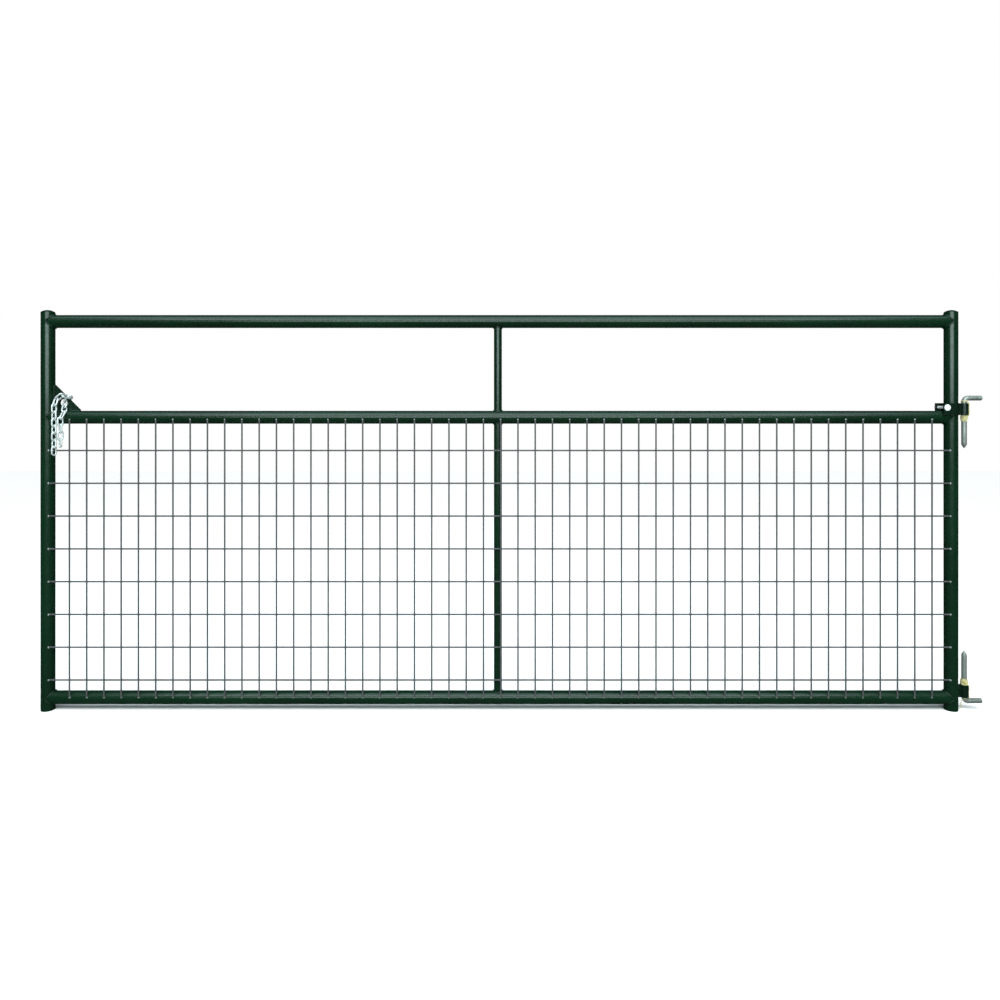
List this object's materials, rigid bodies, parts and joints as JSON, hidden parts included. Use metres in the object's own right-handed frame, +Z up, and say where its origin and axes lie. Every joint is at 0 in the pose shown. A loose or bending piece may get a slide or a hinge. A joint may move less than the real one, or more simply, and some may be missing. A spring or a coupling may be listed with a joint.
{
  "type": "livestock panel gate",
  "caption": "Welded tube gate with a wire-filled lower bay, an open upper bay, two bolt-hook hinges on one post and a latch chain hung from a gusset on the other.",
  "frame": {"origin": "on the swing axis of the two hinge pins, level with the feet of the posts", "axes": "+Z up the swing axis, +X from the latch post towards the hinge post, and -Y out of the face that carries the wires"},
  "size_m": [2.9947, 0.0794, 1.2725],
  "materials": {
    "green_paint": "glossy dark green enamel",
    "filling_wire": "dull galvanised wire",
    "hinge_steel": "dull zinc plate",
    "bright_zinc": "bright zinc plate",
    "chain_zinc": "bright zinc plate",
    "soft_band": "pale yellow, matt"
  },
  "bodies": {
    "hinge_bolts": {"upper_hinge_bolt": "hinge_steel", "lower_hinge_bolt": "hinge_steel", "upper_pin_band": "soft_band", "lower_pin_band": "soft_band"},
    "gate": {"latch_post": "green_paint", "hinge_post": "green_paint", "latch_post_cap": "green_paint", "hinge_post_cap": "green_paint", "top_rail": "green_paint", "middle_rail": "green_paint", "bottom_rail": "green_paint", "upper_brace": "green_paint", "lower_brace": "green_paint", "chain_gusset": "green_paint", "vertical_wires": "filling_wire", "horizontal_wires": "filling_wire", "upper_hinge_strap": "green_paint", "clamp_bolt": "bright_zinc", "clamp_nut": "bright_zinc", "lower_hinge_eye": "green_paint"},
    "fixing_link": {"fixing_link": "chain_zinc"},
    "left_link_1": {"left_link_1": "chain_zinc"},
    "left_link_2": {"left_link_2": "chain_zinc"},
    "left_link_3": {"left_link_3": "chain_zinc"},
    "left_link_4": {"left_link_4": "chain_zinc"},
    "left_link_5": {"left_link_5": "chain_zinc"},
    "left_link_6": {"left_link_6": "chain_zinc"},
    "left_link_7": {"left_link_7": "chain_zinc"},
    "left_link_8": {"left_link_8": "chain_zinc"},
    "left_link_9": {"left_link_9": "chain_zinc"},
    "left_link_10": {"left_link_10": "chain_zinc"},
    "right_link_1": {"right_link_1": "chain_zinc"},
    "right_link_2": {"right_link_2": "chain_zinc"},
    "right_link_3": {"right_link_3": "chain_zinc"},
    "right_link_4": {"right_link_4": "chain_zinc"},
    "right_link_5": {"right_link_5": "chain_zinc"},
    "right_link_6": {"right_link_6": "chain_zinc"},
    "right_link_7": {"right_link_7": "chain_zinc"}
  },
  "joints": [
    {"name": "gate_swing", "type": "hinge", "parent": "hinge_bolts", "child": "gate", "pos_m": [0, 0, 0], "axis": [0, 0, 1], "range_deg": [-100, 100]},
    {"name": "fixing_link_swing", "type": "hinge", "parent": "gate", "child": "fixing_link", "pos_m": [-2.84359, 0, 1.00005], "axis": [-1, 0, 0], "range_deg": [0, 2]},
    {"name": "left_link_1_swing", "type": "hinge", "parent": "fixing_link", "child": "left_link_1", "pos_m": [-2.84708, 0, 0.99655], "axis": [0, 1, 0], "range_deg": [0, 8]},
    {"name": "left_link_2_swing", "type": "hinge", "parent": "left_link_1", "child": "left_link_2", "pos_m": [-2.86021, -0.023, 1.0035], "axis": [-1, 0, 0], "range_deg": [0, 10]},
    {"name": "left_link_3_swing", "type": "hinge", "parent": "left_link_2", "child": "left_link_3", "pos_m": [-2.87901, -0.02188, 0.99], "axis": [-1, 0, 0], "range_deg": [0, 10]},
    {"name": "left_link_4_swing", "type": "hinge", "parent": "left_link_3", "child": "left_link_4", "pos_m": [-2.88083, -0.0322, 0.97023], "axis": [-1, 0, 0], "range_deg": [0, 10]},
    {"name": "left_link_5_swing", "type": "hinge", "parent": "left_link_4", "child": "left_link_5", "pos_m": [-2.88083, -0.0322, 0.94813], "axis": [-1, 0, 0], "range_deg": [0, 10]},
    {"name": "left_link_6_swing", "type": "hinge", "parent": "left_link_5", "child": "left_link_6", "pos_m": [-2.88083, -0.0322, 0.92603], "axis": [-1, 0, 0], "range_deg": [0, 10]},
    {"name": "left_link_7_swing", "type": "hinge", "parent": "left_link_6", "child": "left_link_7", "pos_m": [-2.88083, -0.0322, 0.90393], "axis": [-1, 0, 0], "range_deg": [0, 10]},
    {"name": "left_link_8_swing", "type": "hinge", "parent": "left_link_7", "child": "left_link_8", "pos_m": [-2.88083, -0.0322, 0.88183], "axis": [-1, 0, 0], "range_deg": [0, 10]},
    {"name": "left_link_9_swing", "type": "hinge", "parent": "left_link_8", "child": "left_link_9", "pos_m": [-2.88083, -0.0322, 0.85973], "axis": [-1, 0, 0], "range_deg": [0, 10]},
    {"name": "left_link_10_swing", "type": "hinge", "parent": "left_link_9", "child": "left_link_10", "pos_m": [-2.88083, -0.0322, 0.83763], "axis": [-1, 0, 0], "range_deg": [0, 10]},
    {"name": "right_link_1_swing", "type": "hinge", "parent": "fixing_link", "child": "right_link_1", "pos_m": [-2.86535, 0.00157, 0.98108], "axis": [-1, 0, 0], "range_deg": [0, 6]},
    {"name": "right_link_2_swing", "type": "hinge", "parent": "right_link_1", "child": "right_link_2", "pos_m": [-2.85927, -0.01108, 0.964], "axis": [-1, 0, 0], "range_deg": [0, 10]},
    {"name": "right_link_3_swing", "type": "hinge", "parent": "right_link_2", "child": "right_link_3", "pos_m": [-2.8524, -0.02683, 0.94891], "axis": [-1, 0, 0], "range_deg": [0, 10]},
    {"name": "right_link_4_swing", "type": "hinge", "parent": "right_link_3", "child": "right_link_4", "pos_m": [-2.86043, -0.03356, 0.92913], "axis": [-1, 0, 0], "range_deg": [0, 10]},
    {"name": "right_link_5_swing", "type": "hinge", "parent": "right_link_4", "child": "right_link_5", "pos_m": [-2.86043, -0.03356, 0.90703], "axis": [-1, 0, 0], "range_deg": [0, 10]},
    {"name": "right_link_6_swing", "type": "hinge", "parent": "right_link_5", "child": "right_link_6", "pos_m": [-2.86043, -0.03356, 0.88493], "axis": [-1, 0, 0], "range_deg": [0, 10]},
    {"name": "right_link_7_swing", "type": "hinge", "parent": "right_link_6", "child": "right_link_7", "pos_m": [-2.86043, -0.03356, 0.86283], "axis": [-1, 0, 0], "range_deg": [0, 10]}
  ]
}
